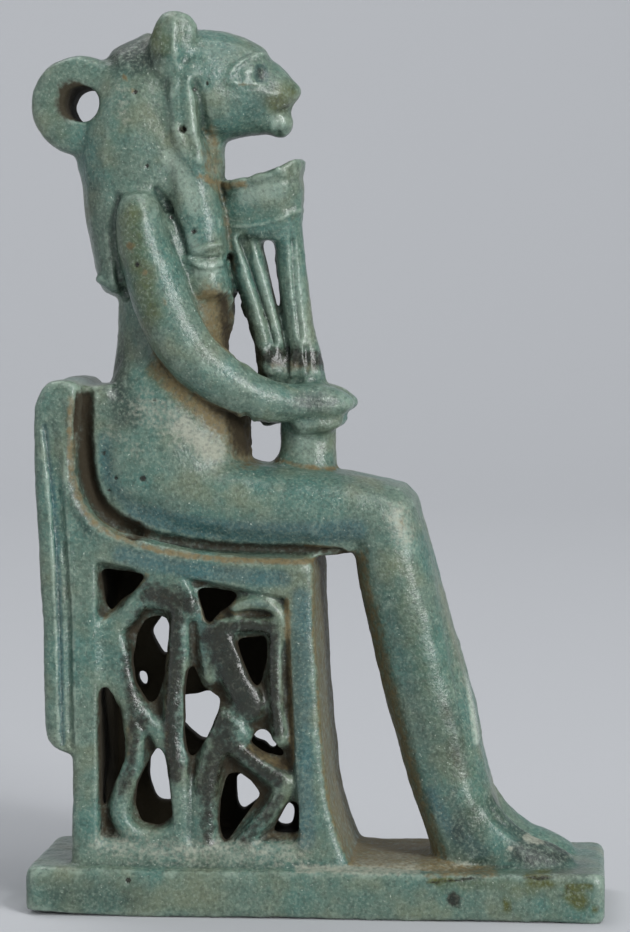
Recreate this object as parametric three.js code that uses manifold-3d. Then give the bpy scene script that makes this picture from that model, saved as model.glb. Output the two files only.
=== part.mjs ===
// A cat-headed goddess seated on an openwork throne: a small moulded faience figure, all one piece.
// Millimetres. +X is the way she faces, +Y is her left, +Z is up.
// The origin is the middle of the underside of the base.
import * as THREE from "three";
import { mergeVertices } from "three/addons/utils/BufferGeometryUtils.js";
import Module from "manifold-3d";

const wasm = await Module();
wasm.setup();

// Driving dimensions of the base slab
const baseLength = 45.1;
const baseWidth = 15.5;
const baseHeight = 3.3;
const baseCorner = 1;
const baseEdge = 0.45;

// The base is this much thicker under the throne and feet than at its rear end, whose underside
// curls up. The other heights in this file are counted from the underside of that rear end.
const baseSag = 0.5;
const rearCurl = 7;

// Driving dimensions of the throne
const throneHalfWidth = 6.6;
const throneEdge = 0.55;
const throneFoot = baseHeight - 0.4;
const seatHalfWidth = 4.9;
const panelFace = 6.3;
const panelThickness = 1.6;

// Driving dimensions of the figure
const shoulderSide = 4.9;
const elbowSide = 5;
const footSide = 2.8;
const earSide = 3.5;
const earLag = 0.55;
const lappetSide = 2.7;

// Driving dimensions of the suspension loop behind the head
const loopX = -18.75;
const loopZ = 62.75;
const loopRadius = 3.9;
const loopHalfWidth = 3.5;
const loopBore = 1.4;

const left = new THREE.Vector3(0, 1, 0);

// A three.js geometry as a solid that can be joined and cut.
function solid(geometry) {
  geometry.deleteAttribute("normal");
  geometry.deleteAttribute("uv");
  const merged = mergeVertices(geometry, 1e-4);
  const mesh = new wasm.Mesh({
    numProp: 3,
    vertProperties: merged.attributes.position.array,
    triVerts: Uint32Array.from(merged.index.array),
  });
  return new wasm.Manifold(mesh);
}

// One point of a superellipse: square is 2 for an ellipse and more for a squarer section.
function ringPoint(angle, square) {
  const bend = (value) => Math.sign(value) * Math.abs(value) ** (2 / square);
  return [bend(Math.cos(angle)), bend(Math.sin(angle))];
}

// The rings of a limb: its stations smoothed along the spine, and a dome of shrinking rings at each end.
function limbRings(stations, { steps, dome, capRings }) {
  const spine = new THREE.CatmullRomCurve3(
    stations.map(([x, y, z]) => new THREE.Vector3(x, y, z)),
    false,
    "catmullrom",
  );
  const sizes = new THREE.CatmullRomCurve3(
    stations.map(([, , , depth, width]) => new THREE.Vector3(depth, width, 0)),
    false,
    "catmullrom",
  );
  const count = (stations.length - 1) * steps;
  const body = Array.from({ length: count + 1 }, (_, i) => {
    const size = sizes.getPoint(i / count);
    return {
      centre: spine.getPoint(i / count),
      along: spine.getTangent(i / count),
      depth: size.x,
      width: size.y,
    };
  });
  const domeRing = (ring, sign, angle) => ({
    centre: ring.centre
      .clone()
      .addScaledVector(ring.along, sign * Math.sin(angle) * dome * Math.min(ring.depth, ring.width)),
    along: ring.along,
    depth: ring.depth * Math.cos(angle),
    width: ring.width * Math.cos(angle),
  });
  const angles = Array.from(
    { length: capRings },
    (_, k) => ((k + 1) / (capRings + 1)) * (Math.PI / 2),
  );
  const first = body[0];
  const last = body[count];
  return {
    rings: [
      ...angles.map((angle) => domeRing(first, -1, angle)).reverse(),
      ...body,
      ...angles.map((angle) => domeRing(last, 1, angle)),
    ],
    tips: [first, last].map((ring, i) => domeRing(ring, i ? 1 : -1, Math.PI / 2).centre),
  };
}

// A closed body of rings strung along a smooth spine. Each station is [x, y, z, depth, width]: a point
// of the spine, then the ring's half sizes in the side plane and across it.
function limb(stations, { sides = 16, steps = 2, square = 2, dome = 0.8, capRings = 2 } = {}) {
  const { rings, tips } = limbRings(stations, { steps, dome, capRings });
  const points = [];
  for (const { centre, along, depth, width } of rings) {
    const across = left.clone().addScaledVector(along, -left.dot(along)).normalize();
    const front = along.clone().cross(across);
    for (let s = 0; s < sides; s++) {
      const [c, w] = ringPoint((s / sides) * 2 * Math.PI, square);
      const point = centre.clone().addScaledVector(front, c * depth);
      points.push(point.addScaledVector(across, w * width));
    }
  }
  const startTip = points.length;
  const lastRing = startTip - sides;
  points.push(...tips);
  const faces = [];
  for (let s = 0; s < sides; s++) {
    const next = (s + 1) % sides;
    faces.push(startTip, s, next, startTip + 1, lastRing + next, lastRing + s);
    for (let r = 0; r < lastRing; r += sides) {
      faces.push(r + s, r + next + sides, r + next);
      faces.push(r + s, r + s + sides, r + next + sides);
    }
  }
  const geometry = new THREE.BufferGeometry().setFromPoints(points);
  geometry.setIndex(faces);
  return solid(geometry);
}

// A limb that lies in one plane parallel to the side plane: its stations are [x, z, depth, width].
function sideLimb(stations, side, options) {
  const placed = stations.map(([x, z, depth, width]) => [x, side, z, depth, width]);
  return limb(placed, options);
}

// A slab cut to a side outline, x forward and z up, with its middle plane at the given side.
function slab(outline, halfWidth, side, edge = 0, curveSegments = 4) {
  const geometry = new THREE.ExtrudeGeometry(outline, {
    depth: 2 * (halfWidth - edge),
    bevelEnabled: edge > 0,
    bevelSize: edge,
    bevelThickness: edge,
    bevelOffset: -edge,
    bevelSegments: 2,
    curveSegments,
  });
  geometry.rotateX(Math.PI / 2);
  geometry.translate(0, side + halfWidth - edge, 0);
  return solid(geometry);
}

function ellipsoid([x, y, z], [rx, ry, rz], segments = 14) {
  const geometry = new THREE.SphereGeometry(1, segments, Math.round(segments * 0.7));
  geometry.scale(rx, ry, rz);
  geometry.translate(x, y, z);
  return solid(geometry);
}

// What a maker function makes for the right side and for the left.
const bothSides = (make) => [-1, 1].flatMap((sign) => make(sign));

function baseSlab() {
  const x = baseLength / 2;
  const y = baseWidth / 2;
  const outline = new THREE.Shape();
  outline.moveTo(-x + baseCorner, -y);
  outline.lineTo(x - baseCorner, -y);
  outline.quadraticCurveTo(x, -y, x, -y + baseCorner);
  outline.lineTo(x, y - baseCorner);
  outline.quadraticCurveTo(x, y, x - baseCorner, y);
  outline.lineTo(-x + baseCorner, y);
  outline.quadraticCurveTo(-x, y, -x, y - baseCorner);
  outline.lineTo(-x, -y + baseCorner);
  outline.quadraticCurveTo(-x, -y, -x + baseCorner, -y);
  const geometry = new THREE.ExtrudeGeometry(outline, {
    depth: baseHeight + baseSag - 2 * baseEdge,
    bevelSize: baseEdge,
    bevelThickness: baseEdge,
    bevelOffset: -baseEdge,
    bevelSegments: 2,
    curveSegments: 3,
  });
  geometry.translate(0, 0, baseEdge - baseSag);
  return solid(geometry).subtract(curl());
}

// The wedge missing under the rear end of the base.
function curl() {
  const rear = -baseLength / 2;
  const outline = new THREE.Shape();
  outline.moveTo(rear - 1, -baseSag - 1);
  outline.lineTo(rear + rearCurl, -baseSag - 1);
  outline.lineTo(rear + rearCurl, -baseSag);
  outline.quadraticCurveTo(rear + rearCurl / 2, -baseSag, rear - 1, 0);
  return slab(outline, baseWidth, 0);
}

// The throne's side outline: rear wall, the cover that hangs over the low back, the seat and the front.
function throneBody() {
  const outline = new THREE.Shape();
  outline.moveTo(-19.05, throneFoot);
  outline.lineTo(-19, 12);
  outline.quadraticCurveTo(-20.8, 12, -21.1, 13.8);
  outline.lineTo(-21.6, 28.7);
  outline.lineTo(-22, 37.2);
  outline.bezierCurveTo(-22.1, 40.3, -21.1, 41.3, -19.9, 41.3);
  outline.bezierCurveTo(-18.4, 41.3, -17.9, 40.7, -18, 39.2);
  outline.quadraticCurveTo(-18.5, 36.8, -18.5, 34.2);
  outline.bezierCurveTo(-18.5, 30.8, -16.4, 29.8, -12.8, 28.9);
  outline.quadraticCurveTo(-8.9, 27.8, -5, 27.6);
  outline.lineTo(-0.8, 27.5);
  outline.quadraticCurveTo(0, 27.4, 0, 26.2);
  outline.quadraticCurveTo(0.3, 17, 1.05, 9.5);
  outline.quadraticCurveTo(1.7, 5.8, 3.2, throneFoot);
  return slab(outline, throneHalfWidth, 0, throneEdge);
}

// The seat and back between the throne's sides, which carry the figure.
function seat() {
  const outline = new THREE.Shape();
  outline.moveTo(-19.5, 27);
  outline.lineTo(-19.2, 40.6);
  outline.lineTo(-16, 40.9);
  outline.lineTo(-14, 31.5);
  outline.lineTo(-9, 30);
  outline.lineTo(3.6, 29.2);
  outline.lineTo(2.9, 27.8);
  outline.lineTo(0, 27.5);
  outline.lineTo(-1, 26.4);
  return slab(outline, seatHalfWidth, 0, 0.3);
}

// The window between the throne's posts, rails and feet.
function windowOutline() {
  const outline = new THREE.Shape();
  outline.moveTo(-16.95, 4.5);
  outline.lineTo(-1.1, 4.5);
  outline.lineTo(-2.2, 24.4);
  outline.quadraticCurveTo(-9.7, 25.9, -16.9, 27);
  return outline;
}

// The shallow groove between the hanging cover and the throne's side.
function coverGroove(sign) {
  const path = [
    [-20.5, 38, 0.3, 0.3],
    [-19.9, 31.5, 0.36, 0.5],
    [-19.3, 24, 0.36, 0.5],
    [-19.1, 12.6, 0.36, 0.5],
  ];
  return sideLimb(path, sign * throneHalfWidth, { sides: 6, steps: 1, capRings: 0 });
}

// The pierced panel in each side of the throne shows a looped stem behind, then a figure that strides
// forward with one arm raised. Each hole is a loop of [x, z] corners.
const rightHoles = {
  upperLoop: [
    [-13.3, 22.6], [-14, 21.3], [-14.3, 19.5], [-14, 17.5], [-13, 15.9],
    [-12.4, 16.3], [-11.9, 18], [-11.6, 20], [-11.4, 22.4], [-12.2, 22.9],
  ],
  lowerLoop: [
    [-12.2, 12.8], [-13, 11.6], [-13.9, 9.9], [-14.2, 8.1], [-13.7, 6.6],
    [-12.2, 6.3], [-11.1, 7.2], [-11.3, 9.3], [-11.7, 11.9],
  ],
  behindStem: [
    [-16.8, 17], [-16.3, 17.4], [-15.7, 16.4], [-15, 13.7], [-14.9, 11.8],
    [-15.3, 10.4], [-16, 9.3], [-16.4, 8], [-16.8, 7.2],
  ],
  upperCorner: [[-16.8, 26.5], [-13.1, 26.2], [-14, 25], [-15.2, 24.1], [-16.1, 23.1], [-16.5, 24.1]],
  overFigure: [[-9.2, 25.1], [-5.8, 24.8], [-6.6, 23.8], [-7.6, 23.1], [-8.4, 22], [-8.7, 23.2]],
  behindFigure: [
    [-9.8, 19.8], [-9.3, 18.4], [-8.8, 17.3], [-7.4, 16.4], [-7.6, 15.3],
    [-8.4, 13.5], [-9.3, 12.1], [-9.8, 11.5], [-10.2, 13.1], [-10.2, 16.8],
  ],
  underArm: [[-6.2, 21.1], [-3.8, 21.3], [-3.8, 19.7], [-4.3, 17.4], [-4.7, 17.4], [-5.6, 19.2]],
  overKnee: [
    [-5.1, 13], [-4.6, 13.9], [-3.9, 14.1], [-3.2, 13.3], [-2.3, 12.1], [-2.6, 11.8], [-3.9, 12.2],
  ],
  betweenLegs: [
    [-6.9, 10.5], [-6, 10.6], [-5, 9.9], [-4.3, 8.9], [-5.2, 7.6], [-6.2, 6.2],
    [-7.2, 4.9], [-7.5, 6.5], [-7.4, 8.5],
  ],
  underKnee: [[-2.1, 8.3], [-1.2, 8.5], [-1.2, 5.9], [-3.4, 5.9], [-2.8, 7]],
};

// The left panel repeats the right one in a freer hand, a little lower and further back.
const leftHoles = {
  upperLoop: [[-14.2, 20.5], [-13.2, 18.5], [-12.2, 19.4], [-12.2, 21.5], [-13.3, 21.9]],
  underLoop: [[-15.5, 17.2], [-14.7, 17.3], [-14.5, 16.4], [-14.9, 15.6]],
  lowerLoop: [
    [-13.5, 11.4], [-14.4, 10.2], [-14.5, 9], [-14.2, 7.6], [-13.7, 6.7],
    [-12.3, 6.6], [-12.3, 9.5], [-12.7, 11.2],
  ],
  behindFigure: [
    [-11.9, 15.3], [-10.3, 15.4], [-9.5, 15.7], [-8.4, 15], [-8.4, 13.6],
    [-9.5, 11.7], [-10.2, 11.7], [-10.9, 12.3], [-11.9, 13.2],
  ],
  overKnee: [[-5.9, 11.8], [-5, 11.6], [-4.5, 11], [-3.9, 11.1], [-4.2, 12.1], [-5.2, 12.9], [-6, 12.6]],
  betweenLegs: [[-7.3, 9], [-7.2, 6.5], [-6.8, 5.9], [-6.2, 6.4], [-5.4, 7], [-5.5, 7.9], [-6.3, 8.9]],
  underKnee: [[-4.1, 4.8], [-2.7, 4.7], [-2.6, 6.3], [-3.1, 6.7]],
};

// Pits in the left panel that stop short of the hollow.
const leftPits = {
  upperCorner: rightHoles.upperCorner,
  overFigure: rightHoles.overFigure,
  underArm: rightHoles.underArm,
};
const pitDepth = 1;

function panelCut(corners, sign, depth) {
  const outline = new THREE.Shape(corners.map(([x, z]) => new THREE.Vector2(x, z)));
  return slab(outline, 1 + depth / 2, sign * (panelFace + 1 - depth / 2));
}

// The throne is hollow between two pierced panels, which lie a little behind the faces of the posts.
function throne() {
  const through = panelThickness + 0.5;
  const recess = (sign) => slab(windowOutline(), 1, sign * (panelFace + 1));
  const cuts = [
    slab(windowOutline(), panelFace - panelThickness, 0),
    ...bothSides(recess),
    ...Object.values(rightHoles).map((points) => panelCut(points, -1, through)),
    ...Object.values(leftHoles).map((points) => panelCut(points, 1, through)),
    ...Object.values(leftPits).map((points) => panelCut(points, 1, pitDepth)),
  ];
  return cuts.reduce((body, cut) => body.subtract(cut), throneBody());
}

// The trunk from the seat to the shoulders.
function trunk() {
  const path = [
    [-11.7, 33.8, 6.3, 5.8],
    [-11.6, 38.4, 5.9, 5.4],
    [-11.8, 42.2, 4.75, 4.4],
    [-11.8, 44.7, 4.4, 4.1],
    [-11.5, 48.4, 4.7, 4.4],
    [-12.2, 54, 3.6, 4.6],
  ];
  return sideLimb(path, 0, { sides: 16, square: 2.3, dome: 0.6, capRings: 0 });
}

// The fullness of the hips, which fills the corner of the seat.
function hips() {
  const path = [
    [-13.4, 32.3, 3.9, 5.7],
    [-13.4, 35, 4.05, 5.85],
    [-13.5, 38, 3.9, 5.5],
    [-13.6, 41, 3, 4.6],
    [-13.7, 43.4, 2, 3.6],
  ];
  return sideLimb(path, 0, { sides: 16, steps: 1, square: 3.1, dome: 0.6, capRings: 1 });
}

function thighs() {
  const path = [
    [-15, 34.6, 2.6, 5],
    [-12.2, 33, 3.5, 5.8],
    [-8.4, 31.9, 3.5, 6.05],
    [-4, 31.2, 3.4, 6.1],
    [1.4, 30.9, 3.2, 6],
    [5.3, 30.5, 2.85, 5.85],
  ];
  return sideLimb(path, 0, { sides: 16, square: 2.7, dome: 0.8, capRings: 1 });
}

// Both shins under the long dress, down to the ankles.
function shins() {
  const path = [
    [5.1, 31.3, 2.75, 5.85],
    [6.1, 26, 3.15, 5.6],
    [8.7, 15.8, 3.3, 5.2],
    [10.4, 9.4, 3.15, 5.05],
    [11.5, 6, 3.1, 5],
    [12.1, 3.8, 3.1, 5.1],
  ];
  return sideLimb(path, 0, { sides: 16, square: 2.7, dome: 0.7, capRings: 1 });
}

// The front of the dress stands proud of the shins down to its hem.
function dressFront() {
  const path = [
    [7.4, 24, 2.4, 3.6],
    [8.8, 19, 2.5, 3.8],
    [10, 14.6, 2.5, 4],
    [10.5, 12.3, 2.4, 3.9],
  ];
  return sideLimb(path, 0, { sides: 14, steps: 1, square: 2.6, dome: 0.08, capRings: 0 });
}

// The low rise of the base between the throne's foot and her heels.
function footing() {
  const path = [
    [0.6, 3.2, 0.8, 7.1],
    [5, 3.2, 0.5, 7],
    [9, 3.2, 0.6, 6.4],
    [13.6, 3.2, 0.6, 4.4],
  ];
  return sideLimb(path, 0, { sides: 12, steps: 1, square: 3.4, capRings: 0 });
}

function foot(sign) {
  const path = [
    [11, 9.2, 2, 1.5],
    [12.4, 6.3, 2.45, 2.05],
    [14.2, 4.4, 2.45, 2.4],
    [16.2, 3.5, 2.15, 2.5],
    [18.1, 3.2, 1.8, 2.45],
    [19.2, 3.1, 1.35, 2.15],
  ];
  return sideLimb(path, sign * footSide, { sides: 12, steps: 1, square: 2.2, dome: 0.8, capRings: 1 });
}

// The left arm is a little thinner than the right one, and hangs a little lower and further back.
function arm(sign) {
  const drop = sign > 0 ? 0.6 : 0;
  const thickness = sign > 0 ? 0.92 : 1;
  const path = [
    [-13.9, shoulderSide, 54.5, 1.9, 1.9, 0],
    [-13.5, shoulderSide + 0.2, 52.2, 2.05, 1.95, 0],
    [-12.5, elbowSide, 48.8, 2.3, 1.95, 0.4],
    [-11.4, elbowSide, 45.9, 2.4, 1.9, 1],
    [-9.5, elbowSide, 43, 2.3, 1.85, 1],
    [-6.8, elbowSide - 0.3, 40.9, 2.1, 1.75, 1],
    [-3.9, elbowSide - 1, 39.6, 1.75, 1.65, 1],
    [-1.2, elbowSide - 2.4, 39.4, 1.45, 1.6, 0.4],
  ];
  const placed = path.map(([x, side, z, depth, width, share]) => [
    x - drop * share,
    sign * side,
    z - drop * share,
    depth * thickness,
    width,
  ]);
  return limb(placed, { sides: 10, dome: 0.8, capRings: 1 });
}

// A fist is the roll of knuckles round the sceptre with the smaller roll of fingers under it.
function fist(sign) {
  const knuckles = [
    [-1.6, sign * 2.4, 39.4, 1.5, 1.9],
    [0.2, sign * 1.9, 39.45, 1.5, 2],
    [1.6, sign * 1.4, 39.4, 1.15, 1.9],
    [2.3, sign * 1.1, 39.35, 0.6, 1.5],
  ];
  const fingers = [
    [-1.6, sign * 1.9, 37.9, 1, 1.6],
    [0.4, sign * 1.6, 37.9, 0.95, 1.7],
    [1.3, sign * 1.2, 38, 0.7, 1.5],
  ];
  return [knuckles, fingers].map((path) => limb(path, { sides: 10, steps: 1, dome: 0.7, capRings: 1 }));
}

// The wig: a rounded mass over the head that falls behind the shoulders.
function wig() {
  const path = [
    [-12.4, 66, 3.5, 3.6],
    [-13.6, 63.8, 4.6, 4.6],
    [-14.1, 60.4, 5.2, 5.15],
    [-14.3, 57, 5.1, 5.1],
    [-15.4, 53.4, 3.3, 4.9],
    [-15.95, 50, 1.85, 4.8],
    [-15.9, 48.6, 1.5, 4.7],
  ];
  return sideLimb(path, 0, { sides: 16, square: 2.3, dome: 0.65, capRings: 1 });
}

// The part of the wig that falls in front of each shoulder, over the breast.
function lappet(sign) {
  const path = [
    [-11.2, 62.5, 1.4, 1.9],
    [-10.6, 59.6, 1.7, 2.2],
    [-9.9, 56.4, 2, 2.3],
    [-9.3, 53.4, 2.1, 2.3],
    [-9, 50.4, 1.9, 2.2],
  ];
  return sideLimb(path, sign * lappetSide, { sides: 10, steps: 1, square: 2.6, dome: 0.3, capRings: 1 });
}

// The raised edge of the wig that frames the face, from the ear to the lappet.
function wigBand(sign) {
  const path = [
    [-10.8, sign * 3.5, 66.2, 0.8, 0.6],
    [-10.5, sign * 4.35, 63.4, 0.95, 0.7],
    [-10.2, sign * 4.6, 60.6, 1, 0.7],
    [-9.6, sign * 4.3, 57.8, 0.95, 0.7],
    [-9.1, sign * 4.1, 55.4, 0.8, 0.6],
  ];
  return limb(path, { sides: 8, steps: 1, square: 2.4, capRings: 0 });
}

// The face, from inside the wig to the nose.
function face() {
  const path = [
    [-12, 64.3, 4.6, 4.2],
    [-9.2, 64.25, 4.6, 4.25],
    [-7.4, 64.15, 4.35, 3.95],
    [-5.9, 63.95, 3.85, 3.45],
    [-4.4, 63.65, 3.2, 2.85],
    [-3.1, 63.7, 2.25, 2.3],
    [-2.3, 63.7, 1.3, 1.65],
  ];
  return sideLimb(path, 0, { sides: 18, square: 2.25, dome: 0.35, capRings: 0 });
}

function nose() {
  return ellipsoid([-2.95, 0, 63.85], [1.6, 1.3, 1], 10);
}

// The lower jaw, which ends in a round chin.
function jaw() {
  const path = [
    [-8.6, 61.2, 1.6, 2.8],
    [-6, 61.5, 1.3, 2.3],
    [-4, 61.4, 0.95, 1.7],
    [-3.15, 61.35, 1.25, 1.5],
  ];
  return sideLimb(path, 0, { sides: 12, steps: 1, dome: 0.8, capRings: 2 });
}

function neck() {
  const path = [
    [-9.8, 61, 2.4, 2.6],
    [-9.6, 58.5, 2.1, 2.2],
    [-9.6, 56, 2, 2.4],
  ];
  return sideLimb(path, 0, { sides: 12, steps: 1, capRings: 0 });
}

// A round upright ear, set close to the head. Her left one stands a little further back.
function ear(sign) {
  const back = sign > 0 ? earLag : 0;
  const path = [
    [-11.9 - back, sign * (earSide + 0.2), 65.6, 1.3, 0.9],
    [-11.5 - back, sign * earSide, 67, 1.85, 1.2],
    [-10.95 - back, sign * (earSide - 0.2), 68.7, 1.75, 1.15],
  ];
  return limb(path, { sides: 12, steps: 1, dome: 1.1 });
}

// The suspension loop: a thick ring lying across the back of the head, bored from side to side.
function loop() {
  const edge = 0.9;
  const profile = new THREE.Path();
  profile.moveTo(0, -loopHalfWidth);
  profile.lineTo(loopRadius - edge, -loopHalfWidth);
  profile.quadraticCurveTo(loopRadius, -loopHalfWidth, loopRadius, -loopHalfWidth + edge);
  profile.lineTo(loopRadius, loopHalfWidth - edge);
  profile.quadraticCurveTo(loopRadius, loopHalfWidth, loopRadius - edge, loopHalfWidth);
  profile.lineTo(0, loopHalfWidth);
  const geometry = new THREE.LatheGeometry(profile.getPoints(2), 24);
  geometry.translate(loopX, 0, loopZ);
  return solid(geometry);
}

function loopHole() {
  const geometry = new THREE.CylinderGeometry(loopBore, loopBore, 20, 20);
  geometry.translate(loopX + 0.3, 0, loopZ);
  return solid(geometry);
}

// The sceptre's flared head, cut to its side outline.
function umbel() {
  const path = [
    [-4.6, 59.6, 3.6, 3.4],
    [-4.6, 57.4, 3.4, 3.1],
    [-4.6, 54.6, 3.3, 2.4],
    [-4.7, 52.4, 3.3, 2],
    [-4.7, 51.4, 3.3, 1.9],
  ];
  const outline = new THREE.Shape();
  outline.moveTo(-8.6, 56.9);
  outline.quadraticCurveTo(-5.8, 56.3, -1.55, 58.65);
  outline.lineTo(-1.2, 58.3);
  outline.lineTo(-1.55, 57);
  outline.lineTo(-1.25, 56.1);
  outline.lineTo(-1.4, 55.2);
  outline.lineTo(-1.35, 52.6);
  outline.quadraticCurveTo(-3.6, 51.6, -6, 52.6);
  outline.lineTo(-7.2, 49.4);
  outline.lineTo(-8.4, 49.6);
  return sideLimb(path, 0, { sides: 16, steps: 1, square: 2.8, capRings: 0 }).intersect(
    slab(outline, 5, 0),
  );
}

// The stems under the sceptre's head, pierced from side to side.
function sceptreStems() {
  const stems = [
    [
      [-6.6, 53.2, 0.9, 1.6],
      [-6.15, 50, 0.9, 1.6],
      [-4.8, 45.4, 0.85, 1.6],
      [-3.9, 41, 0.85, 1.7],
    ],
    [
      [-5.3, 53.2, 0.6, 1.4],
      [-4.9, 50, 0.65, 1.4],
      [-4, 46.4, 0.65, 1.4],
      [-3, 41, 0.9, 1.6],
    ],
    [
      [-2.65, 53.2, 1.3, 1.7],
      [-2.2, 49, 1.2, 1.5],
      [-1.65, 45, 1.25, 1.6],
      [-0.9, 41, 1.45, 1.9],
    ],
  ];
  return stems.map((path) => sideLimb(path, 0, { sides: 8, capRings: 0 }));
}

// The bound sheath where the stems meet, above the fists.
function sceptreSheath() {
  const leaves = [
    [-3.9, 42.1, 1.15],
    [-2.1, 42, 0.95],
    [-0.8, 41.8, 0.95],
  ];
  return leaves.map(([x, z, half]) => ellipsoid([x, 0, z], [half, 1.85, 1.9], 8));
}

// The sceptre's foot, which stands on her lap.
function sceptreFoot() {
  const path = [
    [-1, 40.5, 2.2, 2],
    [-1, 37, 2.2, 1.9],
    [-1, 35.2, 2.3, 2.1],
    [-1.3, 33.6, 2.8, 2.8],
  ];
  return sideLimb(path, 0, { sides: 14, square: 2.6, capRings: 0 });
}

function breast(sign) {
  return ellipsoid([-8.7, sign * 2.6, 49], [1.75, 2, 1.9], 12);
}

function figurine() {
  const added = [
    throne(),
    baseSlab(),
    seat(),
    trunk(),
    hips(),
    thighs(),
    shins(),
    dressFront(),
    footing(),
    wig(),
    face(),
    nose(),
    jaw(),
    neck(),
    loop(),
    umbel(),
    ...sceptreStems(),
    ...sceptreSheath(),
    sceptreFoot(),
    ...bothSides(foot),
    ...bothSides(arm),
    ...bothSides(fist),
    ...bothSides(lappet),
    ...bothSides(wigBand),
    ...bothSides(ear),
    ...bothSides(breast),
  ];
  const cuts = [loopHole(), ...bothSides(coverGroove)];
  const whole = added.reduce((body, piece) => body.add(piece));
  return cuts.reduce((body, cut) => body.subtract(cut), whole).translate(0, 0, baseSag);
}

// The solid back as a three.js geometry.
function geometryOf(body) {
  const { vertProperties, triVerts, numProp } = body.getMesh();
  const positions = new Float32Array((vertProperties.length / numProp) * 3);
  for (let i = 0; i < positions.length / 3; i++)
    positions.set(vertProperties.subarray(i * numProp, i * numProp + 3), i * 3);
  const geometry = new THREE.BufferGeometry();
  geometry.setAttribute("position", new THREE.BufferAttribute(positions, 3));
  geometry.setIndex(new THREE.BufferAttribute(triVerts, 1));
  geometry.computeVertexNormals();
  return geometry;
}

const faience = new THREE.MeshStandardMaterial({
  name: "faience",
  color: 0x6f9c92,
  roughness: 0.45,
  metalness: 0,
});

const part = new THREE.Group();
const mesh = new THREE.Mesh(geometryOf(figurine()), faience);
mesh.name = "figurine";
part.add(mesh);

export default part;
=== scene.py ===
# Looks for a cat-headed goddess on an openwork throne, a small figurine of Egyptian faience.
# Metres, +X the way she faces, +Z up. The near side, which the camera sees, is -Y.
import math
import bmesh
import bpy
import numpy as np
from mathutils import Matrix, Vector
from mathutils.bvhtree import BVHTree


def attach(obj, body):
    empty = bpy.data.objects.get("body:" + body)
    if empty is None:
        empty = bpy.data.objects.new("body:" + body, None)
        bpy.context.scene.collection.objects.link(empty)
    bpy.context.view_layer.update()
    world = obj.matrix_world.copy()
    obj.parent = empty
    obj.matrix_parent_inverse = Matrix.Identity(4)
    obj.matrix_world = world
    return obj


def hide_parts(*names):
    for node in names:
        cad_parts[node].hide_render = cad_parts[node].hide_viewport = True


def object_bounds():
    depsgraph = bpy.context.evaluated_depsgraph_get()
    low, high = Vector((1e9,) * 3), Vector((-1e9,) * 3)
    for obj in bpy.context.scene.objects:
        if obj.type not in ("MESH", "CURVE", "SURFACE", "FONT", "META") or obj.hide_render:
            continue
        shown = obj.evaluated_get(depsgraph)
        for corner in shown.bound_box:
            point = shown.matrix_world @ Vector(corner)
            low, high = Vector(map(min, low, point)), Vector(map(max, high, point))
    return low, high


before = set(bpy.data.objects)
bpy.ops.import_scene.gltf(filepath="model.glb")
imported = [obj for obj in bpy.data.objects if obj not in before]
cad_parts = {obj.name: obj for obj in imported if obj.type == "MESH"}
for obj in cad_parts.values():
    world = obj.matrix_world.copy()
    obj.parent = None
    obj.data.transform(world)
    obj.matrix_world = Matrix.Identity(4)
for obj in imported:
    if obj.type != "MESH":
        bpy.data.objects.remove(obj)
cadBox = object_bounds()
mm = 0.001


# A hex sRGB colour as linear red, green, blue and alpha
def linearColour(hexColour):
    channels = [int(hexColour[i:i + 2], 16) / 255 for i in (1, 3, 5)]
    linear = [c / 12.92 if c <= 0.04045 else ((c + 0.055) / 1.055) ** 2.4 for c in channels]
    return (*linear, 1)


# Clay: the CAD solid melted together and softened, as a moulded and glazed piece is

clay = {
    "voxel": 0.2,  # mm, finer than any carved line
    "weld": 1e-6,  # m
    "softenRounds": 7,
    "panelShare": 0.3,  # how much of that softening the openwork takes
    "limbRounds": 30,  # more for arms, thighs and shins, which are round without a crease
    # Each area is a range of x and z and the y where it begins, counted from the middle plane, all in
    # mm; the margin is how far it fades out
    "panel": {"x": (-17.2, -0.9), "z": (5, 27.6), "y": 4.4},
    "panelMargin": 0.6,
    "limbs": (
        {"x": (-17, 3), "z": (31, 55), "y": 5.2},  # arm
        {"x": (-6, 8), "z": (30, 34), "y": 4.6},  # thigh
        {"x": (4, 12.4), "z": (10, 31), "y": 3.4},  # shin
    ),
    "limbMargin": 1.2,
    "triangles": 196000,
}


def meshFromBmesh(name, bm):
    mesh = bpy.data.meshes.new(name)
    bm.to_mesh(mesh)
    bm.free()
    return mesh


def applyModifiers(piece):
    shaped = piece.evaluated_get(bpy.context.evaluated_depsgraph_get())
    mesh = bpy.data.meshes.new_from_object(shaped)
    piece.modifiers.clear()
    piece.data = mesh


def pointsOf(mesh):
    points = np.empty(len(mesh.vertices) * 3)
    mesh.vertices.foreach_get("co", points)
    return points.reshape(-1, 3) / mm


def normalsOf(mesh):
    normals = np.empty(len(mesh.vertices) * 3, np.float32)
    mesh.vertex_normals.foreach_get("vector", normals)
    return normals.reshape(-1, 3).astype(float)


def edgesOf(mesh):
    edges = np.empty(len(mesh.edges) * 2, np.int32)
    mesh.edges.foreach_get("vertices", edges)
    return edges.reshape(-1, 2)


def putPoints(mesh, points):
    mesh.vertices.foreach_set("co", (points * mm).ravel())
    mesh.update()


# Each round moves a point halfway to the middle of its neighbours, as far as its share lets it
def soften(points, edges, rounds, share=1.0):
    a, b = edges.T
    size = len(points)
    neighbours = np.bincount(a, minlength=size) + np.bincount(b, minlength=size)
    for _ in range(rounds):
        sums = [np.bincount(a, line[b], size) + np.bincount(b, line[a], size) for line in points.T]
        middle = np.stack(sums, 1) / neighbours[:, None]
        points = points + 0.5 * share * (middle - points)
    return points


# 0 up to low, 1 from high on
def ramp(values, low, high):
    return np.clip((values - low) / (high - low), 0, 1)


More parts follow.
